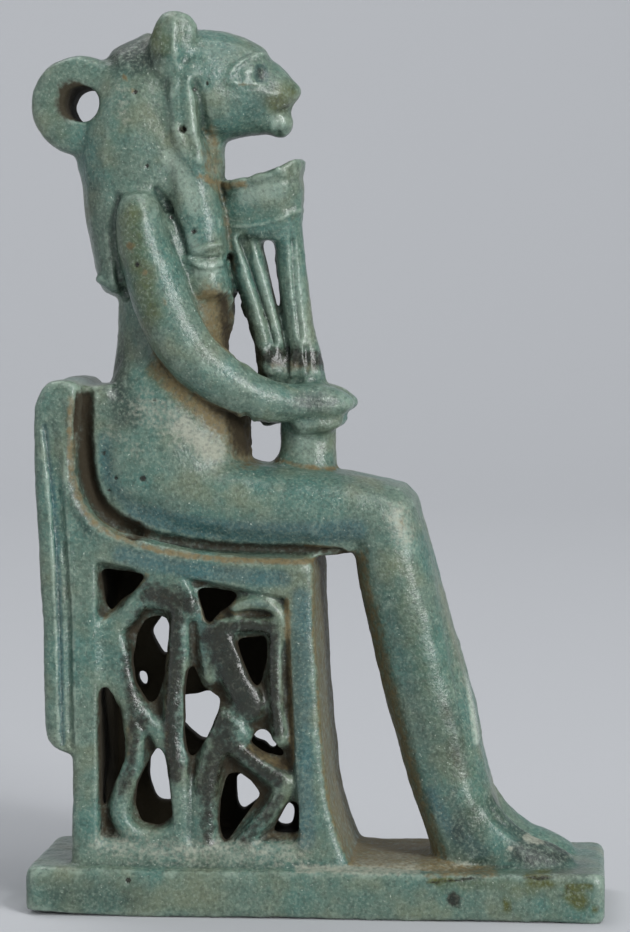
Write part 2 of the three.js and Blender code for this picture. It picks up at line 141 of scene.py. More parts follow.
# 1 inside an area, on both sides of the figurine
def inArea(points, area, margin):
    x, y, z = points.T
    share = ramp(np.abs(y), area["y"] - margin, area["y"])
    for values, (low, high) in ((x, area["x"]), (z, area["z"])):
        share = share * ramp(values, low - margin, low) * (1 - ramp(values, high, high + margin))
    return share


def inPanel(points):
    return inArea(points, clay["panel"], clay["panelMargin"])


def makeClay():
    bm = bmesh.new()
    bm.from_mesh(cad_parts["figurine"].data)
    bmesh.ops.remove_doubles(bm, verts=bm.verts, dist=clay["weld"])
    piece = bpy.data.objects.new("faienceFigurine", meshFromBmesh("faienceFigurine", bm))
    bpy.context.scene.collection.objects.link(piece)
    melt = piece.modifiers.new("melt", "REMESH")
    melt.mode = "VOXEL"
    melt.voxel_size = clay["voxel"] * mm
    applyModifiers(piece)
    mesh = piece.data
    edges = edgesOf(mesh)
    points = pointsOf(mesh)
    share = 1 - (1 - clay["panelShare"]) * inPanel(points)[:, None]
    points = soften(points, edges, clay["softenRounds"], share)
    limb = np.max([inArea(points, area, clay["limbMargin"]) for area in clay["limbs"]], axis=0)
    putPoints(mesh, soften(points, edges, clay["limbRounds"], limb[:, None]))
    return piece


figurine = makeClay()
print("clay", len(figurine.data.polygons))

# Openwork: on the near panel every strand is rounded and stands over a lower ground. The far panel
# keeps its plainer pierced plate. All in mm, heights counted from the middle plane: a strand is its half
# width, the height of its crown and its path of x and z.

openwork = {
    "ground": 5.15,
    "plate": 6.3,  # the CAD panel's face
    "frame": 6.6,
    "frameEdge": 0.7,  # how far the frame's rounded edge reaches into the window
    "faceDepth": (5.9, 6.25),  # only this outer skin of the plate is raised to the strands' crowns
    "faceTurn": (0.3, 0.8),  # and only where it faces out at least this squarely
    "roundness": 3,  # of a strand across, flatter on top the higher it is
    "softenRounds": 3,
    "window": [(-16.95, 5), (-1.1, 5), (-2.2, 24.9), (-9.7, 26.4), (-17, 27.6)],
    "strands": {
        "corner": (
            1.0, 6.45,
            [(-17.4, 21.9), (-16.2, 22.3), (-15, 23.1), (-13.9, 24.3), (-12.9, 25.5), (-12.3, 26.4)],
        ),
        "topPlate": (1.5, 6.3, [(-12.6, 25.2), (-11, 24.9), (-10.2, 24.7)]),
        "topEdge": (0.5, 6.5, [(-13.6, 27), (-11.6, 26.4), (-9.9, 25.9), (-9.6, 24.6), (-9.6, 23.4)]),
        "upperLoop": (
            1.15, 6.4,
            [(-16, 22.4), (-15.4, 20.8), (-15.2, 19.2), (-14.8, 17.4), (-14.1, 15.9), (-13.5, 14.8)],
        ),
        "lowerLoop": (
            0.95, 6.45,
            [(-14.4, 16), (-14.1, 14), (-14, 12.4), (-14.5, 10.9), (-15.1, 9.4), (-15.3, 8.2), (-15, 7),
             (-14.2, 6.1), (-12.8, 5.7), (-11.4, 6.1)],
        ),
        "loopRoot": (1.3, 6.25, [(-17, 21.5), (-16.4, 19.5), (-15.9, 17.6)]),
        "crossing": (0.8, 6.3, [(-13.9, 16.4), (-13, 15.3), (-12.3, 14.2), (-11.8, 13)]),
        "stem": (
            0.85, 6.5,
            [(-10.7, 24), (-10.8, 21), (-11, 18.5), (-11.2, 16), (-11.1, 13.5), (-10.7, 11), (-10.5, 5)],
        ),
        "stemRidge": (
            0.32, 6.45,
            [(-9.95, 23.5), (-10, 20), (-10.2, 16), (-10.05, 12), (-9.95, 8), (-9.9, 5)],
        ),
        "plateBehindBody": (0.7, 6.05, [(-8.9, 25.2), (-8.8, 22.5), (-8.5, 20), (-8.2, 18.4)]),
        "body": (1.45, 6.45, [(-7.5, 22.1), (-7, 20.5), (-6.3, 18.9), (-5.6, 17.5), (-5.1, 16.4)]),
        "armLower": (0.75, 6.35, [(-8.2, 22.3), (-6.8, 22.7), (-5, 22.8), (-3.3, 22.6)]),
        "armTop": (
            0.68, 6.5,
            [(-6.2, 24), (-5.2, 24.5), (-4, 24.5), (-3.2, 24.2), (-2.75, 23.4), (-2.7, 22)],
        ),
        "frontStrand": (
            0.75, 6.45,
            [(-2.9, 23), (-3.1, 21), (-3.1, 19), (-3, 17), (-2.85, 15.3), (-2.6, 13.8)],
        ),
        "hip": (1.1, 6.45, [(-7.8, 15.6), (-6.6, 15.2), (-5.8, 14.2)]),
        "rearLeg": (1.15, 6.4, [(-7.3, 15), (-7.8, 13), (-8.4, 11), (-8.6, 9), (-8.6, 5)]),
        "frontLeg": (0.95, 6.5, [(-6.6, 13.6), (-5.6, 12.6), (-4.4, 11.7), (-3.3, 10.9), (-2.4, 10.4)]),
        "frontShin": (0.85, 6.45, [(-2.3, 10.2), (-2.9, 9), (-3.8, 7.7), (-4.9, 6.5), (-6.1, 5.2)]),
        "footRail": (1.1, 6.4, [(-16.9, 4.9), (-9, 4.9), (-1, 4.9)]),
    },
}


# Cuts a path's corners off twice, so that it bends softly
def roundedPath(path):
    corners = [np.array(corner, float) for corner in path]
    for _ in range(2 if len(corners) > 2 else 0):
        cut = [p + (q - p) * t for p, q in zip(corners, corners[1:]) for t in (0.25, 0.75)]
        corners = [corners[0], *cut, corners[-1]]
    return corners


# How far each point lies from a path, both seen from the side
def awayFrom(points, path):
    flat = points[:, [0, 2]]
    corners = roundedPath(path)
    away = np.full(len(flat), np.inf)
    for start, end in zip(corners, corners[1:] or corners):
        along = end - start
        t = np.clip((flat - start) @ along / max(along @ along, 1e-9), 0, 1)
        away = np.minimum(away, np.linalg.norm(flat - start - t[:, None] * along, axis=1))
    return away


# 1 on the path and 0 a half width away from it
def nearPath(points, path, width):
    return 0.5 + 0.5 * np.cos(np.pi * np.clip(awayFrom(points, path) / width, 0, 1))


# How deep inside a convex outline each point lies
def insideOutline(points, outline):
    flat = points[:, [0, 2]]
    corners = np.array(outline, float)
    depth = np.full(len(flat), np.inf)
    for start, end in zip(corners, np.roll(corners, -1, axis=0)):
        x, z = (end - start) / np.linalg.norm(end - start)
        depth = np.minimum(depth, (flat - start) @ (-z, x))
    return depth


def shapeOpenwork(mesh):
    points = pointsOf(mesh)
    normals = normalsOf(mesh)
    out = -points[:, 1]
    picked = (out > clay["panel"]["y"]) & (insideOutline(points, openwork["window"]) > 0)
    near = points[picked]
    front = np.full(len(near), openwork["ground"])
    for width, crown, path in openwork["strands"].values():
        across = np.clip(awayFrom(near, path) / width, 0, 1)
        rise = (crown - openwork["ground"]) * np.sqrt(1 - across ** openwork["roundness"])
        front = np.maximum(front, openwork["ground"] + rise)
    edge = ramp(insideOutline(near, openwork["window"]), 0, openwork["frameEdge"])
    front = openwork["frame"] + (front - openwork["frame"]) * np.sqrt(edge)
    face = ramp(out[picked], *openwork["faceDepth"]) * ramp(-normals[picked, 1], *openwork["faceTurn"])
    lift = (openwork["frame"] - openwork["plate"]) * face
    near[:, 1] = -np.minimum(out[picked] + lift, front)
    points[picked] = near
    putPoints(mesh, soften(points, edgesOf(mesh), openwork["softenRounds"], inPanel(points)[:, None]))


shapeOpenwork(figurine.data)
print("openwork", len(openwork["strands"]))

# Carving: raised and cut lines. Each is the side it is on, its half width, its height above the surface,
# below it where negative, and its path of x and z seen from the side, all in mm.

carving = {
    "wigBandFront": (
        "both", 0.8, 0.18,
        [(-9.7, 66), (-9.6, 64.6), (-9.5, 63), (-9.4, 61.6), (-9.3, 60.2), (-9, 58.8)],
    ),
    "wigBandRear": (
        "both", 0.8, 0.14,
        [(-11.1, 64.8), (-11.4, 63.4), (-11.3, 62), (-10.8, 60.6), (-10, 59.2)],
    ),
    "wigBandGroove": (
        "both", 0.6, -0.16,
        [(-10.6, 65), (-10.5, 63.4), (-10.3, 61.9), (-10, 60.6), (-9.6, 59.4)],
    ),
    "cheekGroove": ("both", 0.6, -0.4, [(-9.4, 64.8), (-9.1, 63.6), (-8.9, 62.2), (-8.9, 61)]),
    "browEdge": (
        "both", 0.35, 0.1,
        [(-9.3, 68.1), (-8, 68.1), (-6.5, 67.9), (-5.3, 67.5), (-4.6, 67), (-3.9, 66.4)],
    ),
    "lidUpper": (
        "both", 0.3, 0.22,
        [(-6.8, 65.5), (-6.5, 66), (-6.1, 66.4), (-5.5, 66.75), (-4.85, 67), (-4.2, 67.2)],
    ),
    "eyeball": ("both", 0.9, 0.2, [(-5.5, 65.7), (-5, 65.9)]),
    "iris": ("both", 0.8, -0.2, [(-4.5, 65.9), (-4.4, 65.3)]),
    "lidLower": ("both", 0.28, 0.2, [(-6.6, 65), (-5.9, 64.8), (-5.1, 64.8), (-4.2, 64.8)]),
    "cheekbone": (
        "both", 0.5, 0.12,
        [(-6.9, 64.9), (-5.9, 64.35), (-4.6, 64.2), (-3.3, 64.1), (-2.1, 63.8)],
    ),
    "mouth": ("both", 0.32, -0.26, [(-1.8, 63.3), (-2.5, 62.85), (-3.2, 62.5)]),
    "chinGroove": ("both", 0.35, -0.22, [(-3.2, 62.1), (-3.35, 61.4), (-3.2, 60.7)]),
    "earFold": ("both", 0.3, 0.14, [(-11.1, 69.9), (-11.15, 68.4), (-11.1, 66.9), (-10.8, 66)]),
    "earHollow": ("both", 0.7, -0.18, [(-10.3, 69.4), (-10.25, 68), (-10.2, 66.6)]),
    "wigTail": ("near", 0.6, 0.4, [(-17, 49.6)]),
    "wigArmGroove": (
        "both", 0.5, -0.4,
        [(-15.5, 56), (-15.9, 54.6), (-15.9, 52.8), (-15.5, 50.1), (-15.1, 48.2)],
    ),
    "lappetGroove": ("both", 0.45, -0.35, [(-12.4, 56.6), (-11.6, 55.2), (-10.7, 53.4), (-10.2, 51.6)]),
    "hemRidge": ("both", 0.35, 0.36, [(-9.5, 51.7), (-8.6, 52.1), (-7.6, 52.3)]),
    "hemGroove": ("both", 0.32, -0.36, [(-9.6, 51.3), (-8.5, 51.1), (-7.2, 51.4)]),
    "breastRidge": ("both", 0.35, 0.28, [(-9.4, 50.8), (-8.4, 50.4), (-7.3, 50.9)]),
    "umbelBand": ("both", 0.4, -0.1, [(-6.9, 56.4), (-5.3, 56.7), (-3.7, 57.1), (-1.6, 57.6)]),
    "umbelFoot": ("both", 0.4, 0.2, [(-6.9, 53.7), (-4.9, 53.8), (-3, 54.3), (-1.6, 55)]),
    "umbelFront": ("both", 0.3, -0.1, [(-2.1, 58.3), (-2.05, 55.5), (-2.1, 52.6)]),
    "stemFrontGroove": ("both", 0.3, -0.3, [(-2.1, 52.6), (-2, 50.3), (-1.85, 48), (-1.5, 45)]),
    "stemFrontRidge": (
        "both", 0.35, 0.16,
        [(-1.4, 55.8), (-1.3, 51.9), (-0.9, 48), (-0.4, 44.8), (0, 42.1)],
    ),
    "stemRidgeA": ("both", 0.35, 0.18, [(-6.7, 52.9), (-6, 50.4), (-5.3, 48.2), (-4.6, 46), (-4.2, 44.6)]),
    "stemGroove": ("both", 0.28, -0.4, [(-6.2, 52.8), (-5.5, 50.6), (-4.9, 48.8), (-4, 46), (-3.6, 44.6)]),
    "stemRidgeB": (
        "both", 0.35, 0.18,
        [(-5.5, 52.9), (-4.9, 50.9), (-4.3, 48.9), (-3.6, 46.8), (-3.1, 44.6)],
    ),
    "bulbCutA": ("both", 0.25, -0.3, [(-2.6, 44.3), (-2.5, 42.2)]),
    "bulbCutB": ("both", 0.25, -0.25, [(-1, 44.3), (-0.9, 42.2)]),
    "bulbFoot": ("both", 0.4, -0.15, [(-4.7, 41.9), (-2.6, 41.7), (0.3, 41.7)]),
    "fingerGroove": ("both", 0.35, -0.08, [(-1.4, 39.9), (0.4, 39.9), (2, 40)]),
    "fistFoot": ("both", 0.45, -0.14, [(-2.8, 38.9), (-0.6, 38.6), (1.4, 38.7)]),
    "coverRimRear": ("both", 0.3, 0.1, [(-21.2, 38), (-20.6, 31), (-20.2, 24), (-19.9, 13.4)]),
    "coverGroove": (
        "both", 0.35, -0.3,
        [(-21, 38.2), (-20.5, 34), (-20.2, 31), (-20, 27), (-19.9, 24), (-19.7, 13.4)],
    ),
    "coverRimFront": ("both", 0.35, 0.1, [(-19.6, 38), (-19.2, 31), (-18.8, 24), (-18.6, 13.4)]),
    "footGroove": ("near", 0.6, -0.3, [(13.5, 9), (14.1, 7.7), (15, 6.8), (16.2, 6.2)]),
    "footRidge": ("near", 0.4, 0.2, [(14.6, 8.4), (15.6, 7.4), (17, 6.5), (18.6, 5.6)]),
    "dressFront": ("both", 0.4, 0.25, [(9.3, 30), (10.4, 26), (11.5, 20.5), (12.5, 13.4)]),
    "dressFrontGroove": ("both", 0.4, -0.15, [(8.5, 30), (9.5, 26), (10.6, 20.5), (11.7, 13.4)]),
    "dressEdge": ("both", 0.35, 0.1, [(7.9, 33.1), (9, 27.8), (10.4, 22.3), (11.8, 16.8), (12.7, 13.3)]),
    "seatGroove": (
        "both", 0.8, -0.9,
        [(-18, 40.6), (-18.1, 37.9), (-17.9, 34.8), (-17.3, 32.4), (-16, 30.9), (-14, 30)],
    ),
    "seatGrooveFront": (
        "both", 0.5, -0.7,
        [(-15, 30.4), (-12.8, 29.6), (-9.7, 29), (-5.8, 28.6), (-1.1, 28.6), (2, 28.3)],
    ),
    "seatRim": (
        "both", 0.45, 0.12,
        [(-19.1, 40), (-19.3, 34), (-18.6, 31.4), (-16.4, 29.4), (-9.6, 27.7), (-1, 27.1)],
    ),
    "crackInBack": ("near", 0.15, -0.2, [(-18.2, 41.5), (-17.5, 41.7), (-16.6, 41.4)]),
    "armCut": ("near", 0.25, -0.3, [(-6.7, 23.6), (-5, 23.6), (-3.4, 23.5)]),
    "bodyEdge": ("near", 0.22, 0.14, [(-6.5, 21.5), (-5.7, 19.9), (-4.7, 18.1), (-4.2, 16.8)]),
    "strandEdge": ("near", 0.2, 0.1, [(-2.75, 21.6), (-2.7, 19.4), (-2.6, 16.6)]),
    "crossingCut": ("near", 0.22, -0.25, [(-13.8, 15.2), (-13.3, 14.6), (-13, 14)]),
    "thighEdge": ("near", 0.2, 0.12, [(-5.4, 13.1), (-4.2, 12.2), (-3, 11.4), (-2.2, 10.9)]),
}
toolTurn = (0.05, 0.45)  # how squarely a surface faces sideways where the tool begins and cuts fully
toolRounds = 1  # softening after the tool

# Pores: x, z, radius and depth in mm, where gas left the glaze or a bubble burst
pores = [
    (-10.3, 61.2, 0.4, 0.9), (-9.5, 64.3, 0.24, 0.5), (-8.5, 64.8, 0.2, 0.4), (-14.1, 64.1, 0.25, 0.4),
    (-13.1, 58.4, 0.2, 0.3), (-11.4, 54.4, 0.22, 0.4), (-9.5, 53.3, 0.28, 0.6), (-13.7, 50.7, 0.25, 0.4),
    (-15.6, 34.1, 0.22, 0.4), (-16.2, 33.1, 0.2, 0.4), (-16.6, 36, 0.2, 0.3), (-12.6, 40.2, 0.2, 0.3),
    (-13.4, 34.1, 0.35, 0.3), (-14.4, 2.9, 0.3, 0.35), (-6.1, 43.6, 0.2, 0.3), (10.8, 1.8, 0.3, 0.1),
]


# A mark is on both sides, on the near side alone, or on the body alone, which leaves out the arms
sides = {
    "nearFade": 1.5,  # mm from the middle plane until a near mark is full
    "bodyHalf": 5.5,  # mm from the middle plane to where the body ends
    "bodyFade": 0.3,
}


def onSide(points, side):
    if side == "near":
        return ramp(-points[:, 1], 0, sides["nearFade"])
    if side == "body":
        return ramp(sides["bodyHalf"] - np.abs(points[:, 1]), 0, sides["bodyFade"])
    return np.ones(len(points))


def carve(mesh):
    points = pointsOf(mesh)
    normals = normalsOf(mesh)
    facing = ramp(np.abs(normals[:, 1]) * (points[:, 1] * normals[:, 1] > 0), *toolTurn)
    height = np.zeros(len(points))
    for side, width, rise, path in carving.values():
        height += rise * nearPath(points, path, width) * onSide(points, side)
    for x, z, radius, depth in pores:
        height -= depth * nearPath(points, [(x, z)], radius) * (points[:, 1] < 0)
    points = points + (height * facing)[:, None] * normals
    putPoints(mesh, soften(points, edgesOf(mesh), toolRounds))


carve(figurine.data)
print("carving", len(carving) + len(pores))

# Hand work: the slow unevenness of a pressed and hand-smoothed surface

handWork = {
    "waves": ((5.5, 0.07), (2.3, 0.06), (1.1, 0.045), (0.55, 0.03)),  # size and height in mm
    "broken": (  # edges left ragged: side, half width, noise height and path
        ("body", 1.8, 0.3, [(-6.8, 48), (-6.4, 44), (-5.6, 40.4), (-4.8, 36.6)]),
        ("both", 0.8, 0.2, [(-8.2, 60), (-8, 57), (-6, 57), (-3.4, 58)]),
    ),
    "brokenSize": 0.6,
    "seed": 7,
    "lattice": (96, 96, 128),  # how many random values the noise has along x, y and z
    "latticeShift": 40,
}


# Smooth noise between -1 and 1, of about the given wave size, the same at every run
def softNoise(points, size, seed):
    spots = points / size + handWork["latticeShift"]
    cell = np.floor(spots).astype(int)
    part = spots - cell
    part = part * part * (3 - 2 * part)
    lattice = np.random.default_rng(seed).uniform(-1, 1, handWork["lattice"])
    total = np.zeros(len(points))
    for corner in np.ndindex(2, 2, 2):
        weight = np.prod(np.where(corner, part, 1 - part), axis=1)
        i, j, k = ((cell + corner) % lattice.shape).T
        total += weight * lattice[i, j, k]
    return total


def makeUneven(piece):
    mesh = piece.data
    points = pointsOf(mesh)
    normals = normalsOf(mesh)
    for step, (size, height) in enumerate(handWork["waves"]):
        points = points + height * softNoise(points, size, handWork["seed"] + step)[:, None] * normals
    ragged = softNoise(points, handWork["brokenSize"], handWork["seed"] - 1)
    for side, width, height, path in handWork["broken"]:
        height = height * ragged * nearPath(points, path, width) * onSide(points, side)
        points = points + height[:, None] * normals
    putPoints(mesh, points)
    thin = piece.modifiers.new("thin", "DECIMATE")
    thin.ratio = min(1, clay["triangles"] / (2 * len(mesh.polygons)))  # each face is two triangles
    applyModifiers(piece)
    low, high = [np.array(corner) / mm for corner in cadBox]
    putPoints(piece.data, np.clip(pointsOf(piece.data), low, high))
    piece.data.shade_smooth()


makeUneven(figurine)
print("surface", len(figurine.data.polygons))

# Stains and painted light: where earth, dark colour, salt and thick glaze lie, and where shade, highlights
# and glints are painted. Each mark is the side it is on, its half width in mm, its strength, and its path
# of x and z in mm or the name of the carved line that it follows.

stains = {
    # Painted shade: darker in hollows, under the cheekbone and umbel, behind the arm, along the calf and
    # shin and beside the foot
    "recess": [
        ("both", 3.4, 1.7, [(-15.2, 67.3), (-13.4, 67.2)]),  # wig's crown
        ("both", 2.6, 1.1, [(-16, 44), (-15.6, 41), (-14.8, 39)]),  # small of the back
        ("both", 1.6, 0.7, [(-16.2, 53.4), (-16.2, 50)]),  # groove behind the arm
        ("both", 0.9, 0.8, [(-9.3, 64.8), (-9, 62.5), (-8.9, 61)]),  # cheek's edge
        ("both", 0.9, 1.5, "iris"),
        ("both", 1.0, 0.6, [(-20.2, 40), (-20, 34)]),  # throne's back
        ("both", 1.6, 0.8, [(-3.6, 64.5), (-5, 62.8)]),  # under the cheekbone
        ("both", 2.8, 1.2, [(12, 7.6), (11.6, 5.4), (12.6, 4.4)]),  # ankle
        ("both", 2.4, 0.8, [(5.6, 26), (7.6, 19), (9.8, 12)]),  # calf
        ("both", 1.4, 0.8, [(3.9, 24), (6.2, 16), (8.6, 8)]),  # shin's rear edge
        ("near", 2.2, 1.1, [(15.6, 5), (17.6, 4.6), (20.5, 4.4)]),  # side of the foot
        ("near", 1.4, 0.8, [(-1.2, 40.4), (1.4, 40.2)]),  # fist
        ("both", 0.8, 1.0, [(-5.6, 53), (-4.4, 52.9), (-3.4, 53.2)]),  # under the umbel
        ("near", 0.9, 0.9, [(-14.6, 18.2), (-14.2, 15.6), (-14.2, 12.6)]),  # loop
        ("near", 0.6, 1.1, [(-13.8, 15.2), (-13, 14)]),  # crossing
        ("near", 1.2, 1.1, [(-18.8, 39.6), (-18.9, 33), (-17.6, 30)]),  # seat groove's rim
        ("both", 1.0, 0.9, [(-1.4, 22), (-1.3, 8)]),  # front post's inner edge
        ("near", 3.0, 0.9, [(-20, 1.6), (-14, 1.4)]),  # base, rear end
        ("near", 2.0, 1.0, [(17.4, 6.4), (20, 5.4)]),  # toes
        ("near", 0.9, 1.5, [(13.7, 8.8), (14.2, 7.6), (15.2, 6.8), (16.2, 6.2)]),  # groove over the foot
        ("near", 0.4, 1.1, [(-9.6, 23.5), (-9.65, 19.8)]),  # beside the stem, top
        ("near", 0.4, 1.1, [(-9.8, 12), (-9.8, 6)]),  # beside the stem, foot
    ],
    # Wear and painted highlights: pale on the lit chin, lappet, throat, knee, umbel and forearm, and
    # painted glints along edges
    "wear_and_highlight": [
        ("both", 1.5, 1.3, [(-11.4, 59), (-10.1, 57.2), (-9.4, 55.2)]),  # lappet's front edge
        ("both", 1.3, 1.6, [(-3.2, 62)]),  # chin
        ("body", 1.2, 1.0, [(-8.2, 60.6), (-8.1, 58.2)]),  # throat
        ("near", 1.6, 1.0, [(6.6, 31), (7.4, 28.6)]),  # knee
        ("near", 2.0, 1.2, [(-5.6, 56.2), (-3.4, 56.6)]),  # umbel
        ("near", 1.4, 1.0, [(-8.8, 50), (-9.6, 52.6)]),  # lappet's hem
        ("near", 0.5, 0.9, [(-3.6, 52), (-2.8, 48), (-2.2, 45)]),  # front stems
        ("near", 0.4, 0.9, [(-9.95, 19), (-10.1, 15), (-10, 6)]),  # beside the stem
        ("near", 1.0, 0.8, [(-9.8, 44.6), (-7.8, 42.2), (-5, 41)]),  # forearm
        ("near", 0.5, 1.8, [(9.3, 29), (10.4, 26), (11.5, 20.5), (12.5, 13.4)]),  # dress's front
        ("near", 1.3, 1.2, [(-1.9, 52), (-1.4, 48), (-1, 45)]),  # front stem
        ("near", 1.8, 1.1, [(-1.2, 37.6), (-0.8, 36)]),  # sceptre's foot
        ("near", 0.4, 1.4, [(15.8, 7.1), (17, 6.5), (18.6, 5.6)]),  # ridge of the foot
        ("near", 1.2, 1.2, [(-9.2, 50.2), (-8, 50.4)]),  # breast
        ("near", 0.35, 1.9, "bodyEdge"),
        ("near", 0.35, 1.9, [(-2.75, 22), (-2.7, 19.4), (-2.7, 16.6)]),  # front strand
        ("near", 0.35, 1.8, [(-7, 15), (-5.8, 13.4), (-3.4, 11.5)]),  # openwork thigh
        ("near", 0.35, 2.0, [(-12.2, 25.2), (-10.8, 25.1)]),  # top plate
        ("near", 0.35, 1.9, [(-16.8, 22.6), (-15.4, 24)]),  # corner strand
        ("near", 0.3, 1.8, [(-3.6, 24.9), (-2.6, 24.2), (-2.4, 22.6)]),  # openwork arm
    ],
    "earth": [
        # seat's rim, rear
        ("both", 0.55, 0.95, [(-18.9, 40.4), (-19, 36), (-18.7, 33.4), (-17.9, 31.4), (-16.2, 29.9),
                              (-13.4, 28.9)]),
        # seat's rim, front
        ("both", 0.45, 1.2, [(-13.4, 28.9), (-9.8, 28.1), (-5.8, 27.8), (-1, 27.75), (2.6, 27.7)]),
        # shin's rear edge
        ("both", 0.8, 0.9, [(3.6, 28.2), (4.6, 21.5), (5.9, 16.4), (7.5, 11.3), (8.9, 6.3)]),
        ("body", 0.5, 1.2, [(-9, 57.6), (-7.8, 57), (-6.7, 56.9)]),  # neck over the umbel
        ("near", 0.6, 1.2, [(-7.2, 56.9), (-5.8, 57)]),  # umbel's rear end
        # breast behind the stems
        ("body", 0.5, 0.7, [(-8, 57), (-7.4, 55.6), (-7.2, 54), (-6.9, 52.2), (-6.8, 50)]),
        ("body", 1.1, 0.8, [(-8.4, 61.2), (-8.3, 59.6), (-8.3, 58)]),  # throat
        # torso's front edge
        ("body", 2.2, 1.2, [(-8.2, 48), (-8, 46.6), (-7.6, 44), (-7, 40), (-6.4, 37.6), (-5.4, 36)]),
        ("body", 2.0, 1.4, [(-8.8, 40.2), (-7.4, 38.4)]),  # belly
        ("near", 0.3, 0.8, [(-6, 64.75), (-5, 64.7)]),  # lower lid
        ("body", 1.0, 1.3, [(-12.9, 46.8), (-12.4, 44.6), (-11.8, 42.6), (-10.4, 41)]),  # behind the arm
        ("body", 1.5, 1.1, [(-12.5, 42.6), (-10.4, 40.6), (-8.4, 39), (-6.8, 37.8)]),  # under the forearm
        ("both", 0.4, 1.0, [(-5, 35.4), (-3, 35.4), (-1.2, 34.9), (1.2, 34.7)]),  # lap
        ("near", 0.6, 0.9, [(6.8, 30.9)]),  # knee
        ("near", 0.5, 1.2, [(-15, 65.2)]),  # wig
        ("near", 0.35, 1.2, [(-14.3, 64.2)]),  # wig
        ("near", 0.6, 1.5, [(-14.2, 52.1)]),  # upper arm
        ("near", 0.5, 1.5, [(-13.1, 50.1)]),  # upper arm
        ("near", 0.4, 1.1, [(-11.5, 47.6)]),  # upper arm
        ("near", 0.9, 0.8, [(-3.6, 43), (-2.2, 42.9), (-0.6, 42.8)]),  # bulb
        ("near", 0.3, 1.0, [(-6.7, 23.7), (-5, 23.6), (-3.5, 23.5)]),  # openwork arm
        ("near", 0.45, 1.3, [(-2.1, 24.7), (-2, 20), (-1.85, 16), (-1.7, 12.2)]),  # front post's inner edge
        ("near", 0.6, 1.5, [(-5, 13), (-3.6, 12.2), (-2.1, 11.7)]),  # over the openwork thigh
        ("near", 0.45, 0.9, [(-3.6, 6.2), (-2.2, 6.1), (-1.1, 6.4)]),  # lower front hole
        ("near", 0.4, 0.9, [(-13, 26.6), (-14.2, 25.4), (-15.6, 24.2), (-16.4, 23.2)]),  # rear upper hole
        ("near", 0.5, 0.9, [(-8.9, 25), (-8.5, 22.7), (-7.4, 23.4), (-6.3, 24.5)]),  # middle upper hole
        ("near", 0.45, 0.9, [(-11.4, 21), (-11.6, 16), (-11.3, 12)]),  # beside the stem
        ("near", 0.4, 0.8, [(-12.4, 24.9), (-11.2, 24.9)]),  # top plate
        ("near", 0.7, 0.7, [(-14.5, 12.6), (-14.4, 15.4)]),  # loop
        ("near", 0.6, 0.8, [(9, 3.6), (12, 3.9), (14, 3.7)]),  # base under the heel
    ],
    # Dark earth and painted shade deep in the seat groove, along the torso, under the forearm and in the
    # openwork
    "grime_and_shade": [
        # seat groove, rear
        ("both", 1.1, 1.9, [(-18, 40.4), (-18.1, 36), (-17.8, 33.6), (-17, 31.9), (-15.4, 30.6),
                            (-13.4, 29.8)]),
        # seat groove, front
        ("both", 0.5, 1.8, [(-13.4, 29.8), (-9.8, 28.95), (-5.8, 28.6), (-1.1, 28.6), (2.6, 28.3)]),
        ("body", 0.8, 1.4, [(-7.5, 48.4), (-7.4, 46), (-7.2, 43.5)]),  # torso's front edge, top
        ("body", 1.5, 1.5, [(-7, 40.6), (-6.4, 38.6), (-5.9, 36.4)]),  # torso's front edge, foot
        ("body", 0.8, 1.3, [(-11.9, 43), (-9.7, 41), (-7.6, 39.4)]),  # under the forearm
        ("body", 1.6, 0.9, [(-8.4, 40.6), (-7.2, 38.8)]),  # belly
        ("body", 0.45, 1.2, [(-12.6, 46), (-12.5, 43.6)]),  # behind the arm
        ("body", 0.5, 1.1, [(-12.6, 40.2)]),  # pore in the flank, painted shade
        ("body", 0.6, 0.7, [(-7.4, 56.6), (-7, 54), (-6.9, 51)]),  # breast behind the stems
        ("near", 0.45, 1.2, [(-6.7, 23.7), (-5, 23.6), (-3.5, 23.5)]),  # openwork arm
        ("near", 0.45, 1.1, [(-9.4, 23.4), (-9.5, 20), (-9.4, 17.4)]),  # beside the stem
        ("near", 0.5, 1.0, [(-2, 22), (-1.9, 16), (-1.8, 12.2)]),  # front post's inner edge
        ("near", 0.7, 1.1, [(-4.6, 13.4), (-3.4, 12.6), (-2.2, 12.4)]),  # over the openwork thigh
        ("near", 0.5, 1.6, [(17.9, 5.6)]),  # toes
    ],
    # Painted shade where the sky is hidden or the light falls away: wig's crown, small of the back, fist,
    # shin, foot, heel and mouth
    "hollow_shade": [
        ("both", 4.0, 0.8, [(-15.2, 67.3), (-13.2, 67)]),  # wig's crown
        ("both", 0.6, 1.1, [(-4.5, 65.9), (-4.4, 65.4)]),  # iris
        ("both", 1.4, 0.7, [(-4, 43), (-0.6, 42.8)]),  # bulb
        ("near", 3.6, 0.75, [(-15.6, 42.6), (-14.6, 39)]),  # small of the back
        ("near", 2.4, 0.75, [(-1.4, 40), (1, 39.8)]),  # fist
        ("near", 2.6, 0.8, [(10.4, 16), (11.4, 11.5)]),  # shin
        ("near", 2.6, 0.95, [(16, 5.2), (19, 4.8)]),  # side of the foot
        ("near", 2.4, 0.7, [(10.4, 10), (11.2, 6.4)]),  # heel
        ("both", 2.0, 0.75, [(-3.4, 63.6), (-2.6, 63)]),  # mouth
    ],
    "manganese_and_pore_shade": [
        ("both", 1.3, 0.95, [(-4.4, 43.5), (-2.7, 43.6), (-0.7, 43.4), (0.3, 43.1)]),  # bulb
        ("near", 1.8, 0.95, [(-12.8, 25.1), (-11, 24.7), (-9.9, 24.4)]),  # top plate
        # upper loop
        ("near", 1.3, 0.75, [(-13.4, 23.8), (-14.4, 21.6), (-14.6, 19.4), (-14.1, 17.3), (-13.4, 14.8)]),
